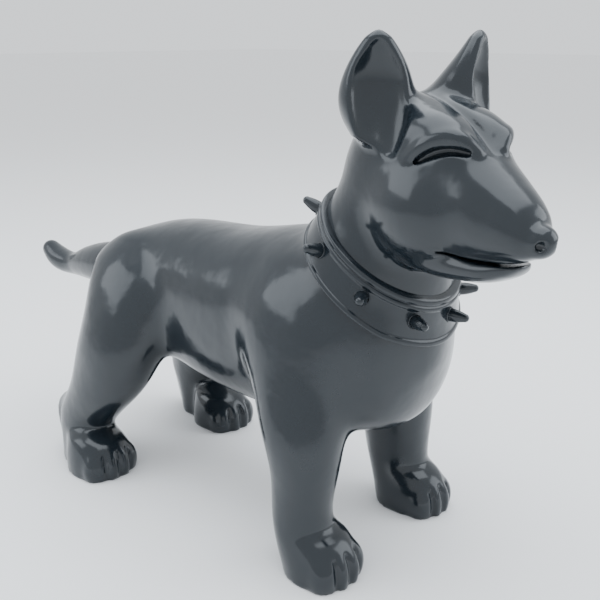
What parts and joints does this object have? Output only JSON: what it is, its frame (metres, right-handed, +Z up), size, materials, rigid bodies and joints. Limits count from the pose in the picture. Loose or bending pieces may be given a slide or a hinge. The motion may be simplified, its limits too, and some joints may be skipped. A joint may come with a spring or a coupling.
{
  "type": "dog statue",
  "caption": "Life-size standing bull terrier figure in glossy dark grey resin, its head turned to its right, wearing a raised collar with blunt spikes.",
  "frame": {"origin": "on the floor, under the middle of the figure's length and width", "axes": "+Y from the nose towards the tail, +X towards the figure's left, +Z up"},
  "size_m": [0.42, 1.2482, 0.7992],
  "materials": {
    "grey_gloss_lacquer": "dark slate grey lacquer over cast resin, high gloss"
  },
  "bodies": {
    "root": {"dog_sculpture": "grey_gloss_lacquer"}
  },
  "joints": []
}
